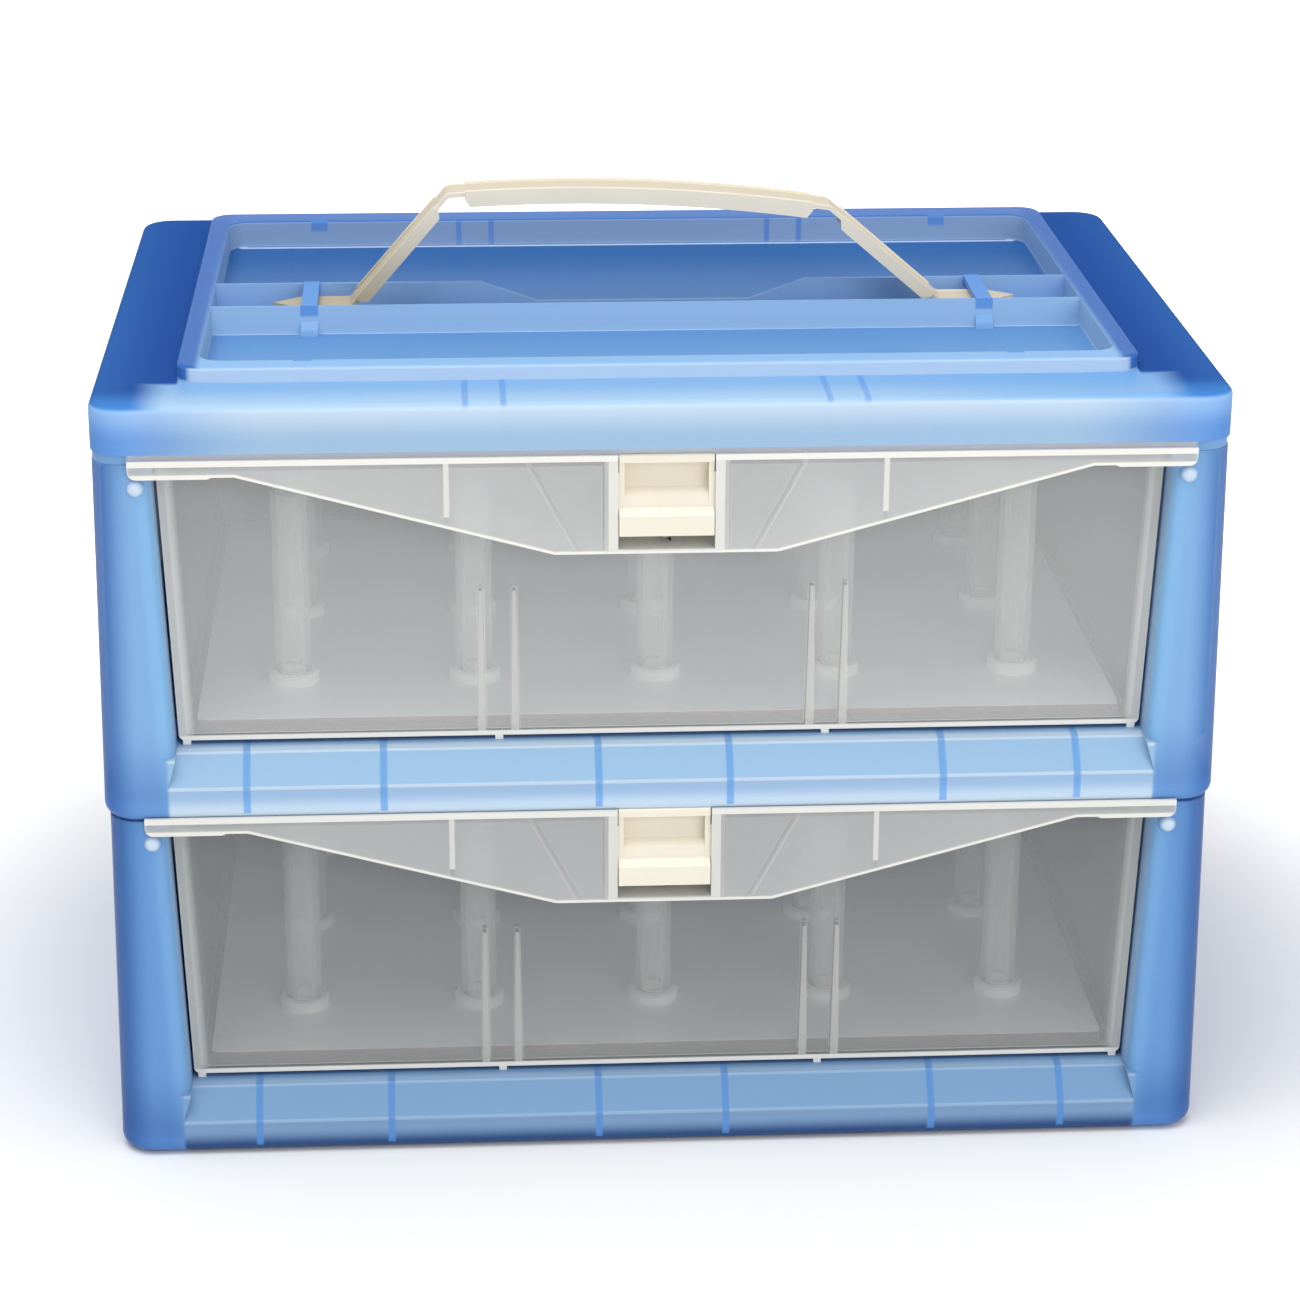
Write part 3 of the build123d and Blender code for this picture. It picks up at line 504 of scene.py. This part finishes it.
def cast_acrylic():
    """Clear cast acrylic with sawn and polished edges: clearest face on, and paler where the eye
    looks along a tube's wall, as glass does."""
    material, tree, shader = new_material("clear acrylic")
    where, _, y, z, side = place_of(tree)
    cloud = patches(tree, where, acrylic_patch, detail=1.0)
    tint = blend_colour(tree, cloud, linear("#fdfcf6"), linear("#f3f2ec"))
    glancing = add_node(tree, "ShaderNodeLayerWeight", Blend=0.5).outputs["Facing"]
    upper = calc(tree, "GREATER_THAN", z, tier_pitch)
    height = calc(tree, "SUBTRACT", z, calc(tree, "MULTIPLY", upper, tier_pitch))
    sheet = stripe(tree, height, plate_top - 0.0009, 0.0008, 0.0002)
    sawn = most(tree, ease(tree, side, plate_half - 0.0003, plate_half - 0.0001),
                lower(tree, y, plate_front + 0.0001, plate_front + 0.0003))
    sawn = times(tree, sheet, sawn)
    tint = blend_colour(tree, sawn, tint, linear("#ad937f"))
    tree.links.new(tint, shader.inputs["Base Color"])
    foot = stripe(tree, height, plate_top + 0.0017, 0.0018)
    shine = times(tree, glancing, calc(tree, "ADD", 0.48, times(tree, foot, 0.35)))
    see = calc(tree, "ADD", calc(tree, "ADD", 0.14, times(tree, foot, 0.75)), shine)
    tree.links.new(calc(tree, "MAXIMUM", see, times(tree, sawn, 0.6)), shader.inputs["Alpha"])
    shader.inputs["Roughness"].default_value = 0.08
    shader.inputs["IOR"].default_value = 1.49
    return material


def cream_abs():
    """Moulded ABS in warm white, with a fine satin skin, painted shade in the thumb scoop, and painted shade
    in a sunk arrow that makes it look a little darker.
    """
    material, tree, shader = new_material("cream ABS")
    where, _, y, z, side = place_of(tree)
    upper = calc(tree, "GREATER_THAN", z, tier_pitch + 0.02)
    height = calc(tree, "SUBTRACT", z, calc(tree, "MULTIPLY", upper, tier_pitch))
    cloud = patches(tree, where, latch_patch)
    colour = blend_colour(tree, cloud, linear("#e9e3d4"), linear("#e3dccb"))
    # Painted shade in the thumb scoop
    scoop = times(tree, ease(tree, y, latch_front + 0.0020, latch_front + 0.0060),
                  ease(tree, height, slider_bottom + 0.0120, slider_bottom + 0.0150))
    colour = blend_colour(tree, times(tree, scoop, 0.5), colour, linear("#d9cfba"))
    # Painted shade in the sunk arrow
    arrow = times(tree, ease(tree, y, latch_front + 0.00005, latch_front + 0.0002),
                  lower(tree, y, latch_front + 0.0006, latch_front + 0.0008),
                  stripe(tree, height, slider_bottom + 0.0035, 0.0019, 0.0002),
                  lower(tree, side, 0.0076, 0.0078))
    colour = blend_colour(tree, times(tree, arrow, 0.5), colour, linear("#b9af98"))
    tree.links.new(colour, shader.inputs["Base Color"])
    shader.inputs["Roughness"].default_value = 0.35
    shader.inputs["IOR"].default_value = 1.53
    shader.inputs["Specular IOR Level"].default_value = 0.3
    moulded_bump(tree, shader, where, 0.0010, 0.00003)
    return material


def cream_polypropylene_strap():
    """Cream polypropylene with living hinges: satin, pale along its edges, with painted shade in the
    shallow middle and where it lies low, strongest on the left."""
    material, tree, shader = new_material("cream polypropylene strap")
    where, x, y, z, _ = place_of(tree)
    cloud = patches(tree, where, strap_patch)
    colour = blend_colour(tree, cloud, linear("#eae1cf"), linear("#e2d8c4"))
    # Painted shade in the shallow middle of the strap
    groove = times(tree, stripe(tree, y, channel_y, web_width / 2 - 0.0020, 0.0008),
                   ease(tree, facing_up(tree), 0.3, 0.6))
    colour = blend_colour(tree, times(tree, groove, 0.55), colour, linear("#b5a98e"))
    # Painted shade where the strap lies low, strongest on the left
    shaded = calc(tree, "SUBTRACT", 0.86, times(tree, ease(tree, x, -0.04, 0.04), 0.66))
    colour = blend_colour(tree, times(tree, lower(tree, z, 0.244, 0.284), shaded), colour, linear("#a89a7c"))
    tree.links.new(colour, shader.inputs["Base Color"])
    shader.inputs["Roughness"].default_value = 0.42
    shader.inputs["IOR"].default_value = 1.49
    shader.inputs["Specular IOR Level"].default_value = 0.3
    moulded_bump(tree, shader, where, 0.0015, 0.00004)
    return material


def spring_wire_steel():
    """Drawn spring steel wire: bright, with fine lengthwise draw marks."""
    material, tree, shader = new_material("drawn spring steel")
    where = place_of(tree)[0]
    marks = patches(tree, where, draw_mark, detail=1.0)
    colour = blend_colour(tree, marks, linear("#9a9a98"), linear("#b8b8b5"))
    tree.links.new(colour, shader.inputs["Base Color"])
    shader.inputs["Metallic"].default_value = 1.0
    shader.inputs["Roughness"].default_value = 0.3
    return material


def mesh_from_grid(name, points, close_columns=False, smooth=True):
    """A surface through a grid of points: rows by columns, joined to their neighbours by quads."""
    rows, columns = points.shape[:2]
    row = np.arange(rows - 1)
    column = np.arange(columns if close_columns else columns - 1)
    r, c = np.meshgrid(row, column, indexing="ij")
    r2, c2 = r + 1, (c + 1) % columns
    quads = np.stack([r * columns + c, r * columns + c2, r2 * columns + c2, r2 * columns + c], -1)
    mesh = bpy.data.meshes.new(name)
    mesh.from_pydata(points.reshape(-1, 3).tolist(), [], quads.reshape(-1, 4).tolist())
    mesh.update()
    mesh.polygons.foreach_set("use_smooth", np.full(len(mesh.polygons), smooth))
    made = bpy.data.objects.new(name, mesh)
    bpy.context.scene.collection.objects.link(made)
    return made


# Colours of the shells: the lower tier stands in more shade than the upper one
upper_shade = {
    "wall": "#4f86cc", "wall_deep": "#4379c2", "pillar": "#84b2e2", "pillar_edge": "#2c66b4",
    "pillar_inner": "#8cc2ef", "band": "#a0bedf", "band_low": "#c4d8ea", "slope": "#9cc0e0",
    "line": "#dbe8f4", "rib": "#5f9fe2"}
lower_shade = {
    "wall": "#4478bf", "wall_deep": "#3b6db3", "pillar": "#6a9cd6", "pillar_edge": "#2a5ba4",
    "pillar_inner": "#7fb2e4", "band": "#80a0c6", "band_low": "#2a4b7e", "slope": "#7ea4cc",
    "line": "#aac6e2", "rib": "#5590d6"}
# Colours of the drawers, with the share that the milky front panel and its hood hide; the lower drawer is
# painted in more shade than the upper one
upper_haze = {
    "haze": "#f0f1f0", "haze_deep": "#e4e6e6", "inside": "#8f9391", "floor": "#b4b1a8",
    "white": "#eceae4", "milk": 0.25, "hood": 0.16}
lower_haze = {
    "haze": "#bec1c1", "haze_deep": "#b0b4b6", "inside": "#777872", "floor": "#aaa493",
    "white": "#e4e3de", "milk": 0.27, "hood": 0.20}

acrylic = cast_acrylic()
latch_abs = cream_abs()
strap = cream_polypropylene_strap()
steel = spring_wire_steel()
finishes = {"lid": blue_polypropylene_lid()}
for tier, base, shade, haze in (("lower", 0.0, lower_shade, lower_haze),
                                ("upper", tier_pitch, upper_shade, upper_haze)):
    finishes[tier + "_tier_shell"] = blue_polypropylene_tier("blue polypropylene " + tier, base, shade)
    finishes[tier + "_drawer"] = clear_polypropylene("natural polypropylene " + tier, base, haze)
    finishes[tier + "_latch_slider"] = latch_abs
    finishes[tier + "_latch_spring"] = steel
for name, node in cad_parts.items():
    finish = finishes.get(name)
    if finish is None:
        finish = strap if name.startswith("handle") else acrylic
    node.data.materials.clear()
    node.data.materials.append(finish)


def coil_spring(name, base):
    """The latch's coil: a round wire whose centre runs round a circle while it climbs.

    Along the wire by angle a, the centre is (r cos a, r sin a) at a height that grows evenly with a,
    and the wire's skin is a circle of the wire's radius about it, in the plane of the spring's axis.
    """
    radius = spring_radius - spring_wire
    a = np.linspace(0, 2 * pi * spring_turns, int(spring_turns * 28))[:, None]
    b = np.linspace(0, 2 * pi, 9)[None, :-1]
    reach = radius + spring_wire * np.cos(b)
    climb = spring_low + spring_wire + (spring_high - spring_low - 2 * spring_wire) * a / a.max()
    points = np.stack([reach * np.cos(a), spring_y + reach * np.sin(a),
                       base + climb + spring_wire * np.sin(b)], -1)
    made = mesh_from_grid(name, points, close_columns=True)
    made.data.materials.append(steel)
    return made


for tier, base in (("lower", 0.0), ("upper", tier_pitch)):
    coil = coil_spring(tier + "_latch_coil", base)
    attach(coil, tier + "_drawer")
    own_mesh(coil)
    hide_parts(tier + "_latch_spring")


def round_rectangle(half_width, half_depth, corner, steps):
    """The points of a round-cornered rectangle about the case's middle, corner by corner.

    Each corner is a quarter circle of the given radius, and straight sides join the quarters.
    """
    a = np.linspace(0, pi / 2, steps)
    quarters = []
    for turn, (sx, sy) in enumerate(((1, 1), (-1, 1), (-1, -1), (1, -1))):
        angle = a + turn * pi / 2
        quarters.append(np.stack([sx * (half_width - corner) + corner * np.cos(angle),
                                  case_middle_y + sy * (half_depth - corner) + corner * np.sin(angle)], -1))
    return np.concatenate(quarters)


def seat_band(name):
    """The upper tier's shoulder under the lid's skirt: a round-cornered ring that stands on the tier.

    Its section is an upright rectangle, run round the outline of the tier's top edge.
    """
    outer = round_rectangle(seat_half_width, seat_half_depth, seat_corner, 12)
    inner = round_rectangle(seat_half_width - seat_wall, seat_half_depth - seat_wall,
                            seat_corner - seat_wall, 12)
    ring = []
    for outline, z in ((outer, seat_low), (outer, seat_high), (inner, seat_high), (inner, seat_low)):
        ring.append(np.concatenate([outline, np.full((len(outline), 1), z)], -1))
    ring.append(ring[0])
    made = mesh_from_grid(name, np.stack(ring), close_columns=True, smooth=False)
    made.data.materials.append(finishes["upper_tier_shell"])
    return made


band = seat_band("lid_seat_band")
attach(band, "case")


def fold_web(name, corner, first, second, reach):
    """The thin web through one fold of the strap: a band that follows a smooth bend.

    Its middle line is a quadratic curve from a point on one leg to a point on the other, with the
    corner as its pull; the band's skin is offset square to that line by half the web's thickness.
    """
    corner = np.array(corner)
    start = corner + reach * np.array(first)
    end = corner + reach * np.array(second)
    t = np.linspace(0, 1, 15)[:, None]
    line = (1 - t) ** 2 * start + 2 * t * (1 - t) * corner + t ** 2 * end
    along = np.gradient(line, axis=0)
    along /= np.linalg.norm(along, axis=1, keepdims=True)
    square = np.stack([-along[:, 1], along[:, 0]], -1)
    half = web_thickness / 2 * 0.98
    width = web_width / 2 - 0.00005
    ring = []
    for offset, y in ((half, -width), (half, width), (-half, width), (-half, -width)):
        edge = line + square * offset
        ring.append(np.stack([edge[:, 0], np.full(len(edge), channel_y + y), edge[:, 1]], -1))
    points = np.stack(ring, 1)
    made = mesh_from_grid(name, points, close_columns=True, smooth=False)
    made.data.materials.append(strap)
    return made


def heading(start, end):
    """The unit direction from one point to another, in x and z."""
    step = np.array(end) - np.array(start)
    return step / np.linalg.norm(step)


chord = heading(grip_left, grip_right)
length = float(np.hypot(grip_right[0] - grip_left[0], grip_right[1] - grip_left[1]))
slope_at_end = 4 * grip_arch / length
left_tangent = np.array([chord[0] - slope_at_end * chord[1], chord[1] + slope_at_end * chord[0]])
left_tangent /= np.linalg.norm(left_tangent)
right_tangent = np.array([-chord[0] - slope_at_end * chord[1], -chord[1] + slope_at_end * chord[0]])
right_tangent /= np.linalg.norm(right_tangent)
folds = (
    ("handle_top_fold_left", grip_left, heading(grip_left, foot_left), left_tangent,
     "handle_leg_left", "handle_grip"),
    ("handle_top_fold_right", grip_right, right_tangent, heading(grip_right, foot_right),
     "handle_grip", "handle_leg_right"),
    ("handle_foot_fold_left", foot_left, np.array([-1.0, 0.0]), heading(foot_left, grip_left),
     "handle_tab_left", "handle_leg_left"),
    ("handle_foot_fold_right", foot_right, heading(foot_right, grip_right), np.array([1.0, 0.0]),
     "handle_leg_right", "handle_tab_right"),
)
for name, corner, first, second, body_a, body_b in folds:
    web = fold_web(name, corner, first, second, fold_reach)
    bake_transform(web)


# Floor, light and camera
floor_mesh = bpy.data.meshes.new("floor")
floor_corners = [(sx * floor_half, sy * floor_half, -floor_drop)
                 for sx, sy in ((-1, -1), (1, -1), (1, 1), (-1, 1))]
floor_mesh.from_pydata(floor_corners, [], [(0, 1, 2, 3)])
floor_object = bpy.data.objects.new("floor", floor_mesh)
bpy.context.scene.collection.objects.link(floor_object)
floor_material, floor_tree, floor_shader = new_material("white studio paper")
floor_shader.inputs["Base Color"].default_value = (0.93, 0.93, 0.93, 1.0)
floor_shader.inputs["Roughness"].default_value = 0.9
floor_shader.inputs["Specular IOR Level"].default_value = 0.1
where = add_node(floor_tree, "ShaderNodeTexCoord").outputs["Object"]
distance = add_node(floor_tree, "ShaderNodeVectorMath", {"operation": "LENGTH"}, i0=where).outputs["Value"]
far_off = ease(floor_tree, distance, glow_start, glow_full)
floor_shader.inputs["Emission Color"].default_value = (1.0, 1.0, 1.0, 1.0)
to_camera = add_node(floor_tree, "ShaderNodeLightPath").outputs["Is Camera Ray"]
glow = calc(floor_tree, "MULTIPLY", far_off, to_camera)
floor_tree.links.new(glow, floor_shader.inputs["Emission Strength"])
floor_mesh.materials.append(floor_material)

world = bpy.data.worlds.new("studio")
bpy.context.scene.world = world
world.use_nodes = True
tree = world.node_tree
tree.nodes.clear()
rays = add_node(tree, "ShaderNodeLightPath")
seen = calc(tree, "MAXIMUM", rays.outputs["Is Camera Ray"],
            calc(tree, "MAXIMUM", rays.outputs["Is Glossy Ray"], rays.outputs["Is Transmission Ray"]))
strength = calc(tree, "ADD", 0.55, calc(tree, "MULTIPLY", seen, 0.45))
background = add_node(tree, "ShaderNodeBackground", Color=(1.0, 1.0, 1.0, 1.0), Strength=strength)
output = add_node(tree, "ShaderNodeOutputWorld")
tree.links.new(background.outputs["Background"], output.inputs["Surface"])


def soft_lamp(name, place, aim, width, watts):
    """A square soft box that looks from one point towards another."""
    data = bpy.data.lights.new(name, "AREA")
    data.shape = "SQUARE"
    data.size = width
    data.energy = watts
    lamp = bpy.data.objects.new(name, data)
    bpy.context.scene.collection.objects.link(lamp)
    lamp.location = place
    lamp.rotation_euler = (Vector(aim) - Vector(place)).to_track_quat("-Z", "Y").to_euler()
    return lamp


soft_lamp("soft box over", (-0.3, -0.5, 1.9), (0, 0, 0.12), 1.4, 22.0)
soft_lamp("soft box front", (0.7, -1.9, 0.9), (0, 0, 0.12), 1.2, 14.0)

yaw = radians(camera_yaw)
pitch = radians(camera_pitch)
roll = radians(camera_roll)
ahead = Vector((-sin(yaw) * cos(pitch), cos(yaw) * cos(pitch), -sin(pitch)))
level = Vector((cos(yaw), sin(yaw), 0.0))
above = level.cross(ahead)
right = cos(roll) * level - sin(roll) * above
upright = sin(roll) * level + cos(roll) * above
camera_data = bpy.data.cameras.new("camera")
camera_data.sensor_width = 36.0
camera_data.lens = camera_lens
camera_data.clip_end = 50.0
camera = bpy.data.objects.new("camera", camera_data)
bpy.context.scene.collection.objects.link(camera)
camera.matrix_world = Matrix((
    (right.x, upright.x, -ahead.x, camera_place[0]),
    (right.y, upright.y, -ahead.y, camera_place[1]),
    (right.z, upright.z, -ahead.z, camera_place[2]),
    (0.0, 0.0, 0.0, 1.0)))
bpy.context.scene.camera = camera

bpy.context.scene.view_settings.view_transform = "Standard"
bpy.context.scene.cycles.transparent_max_bounces = 48
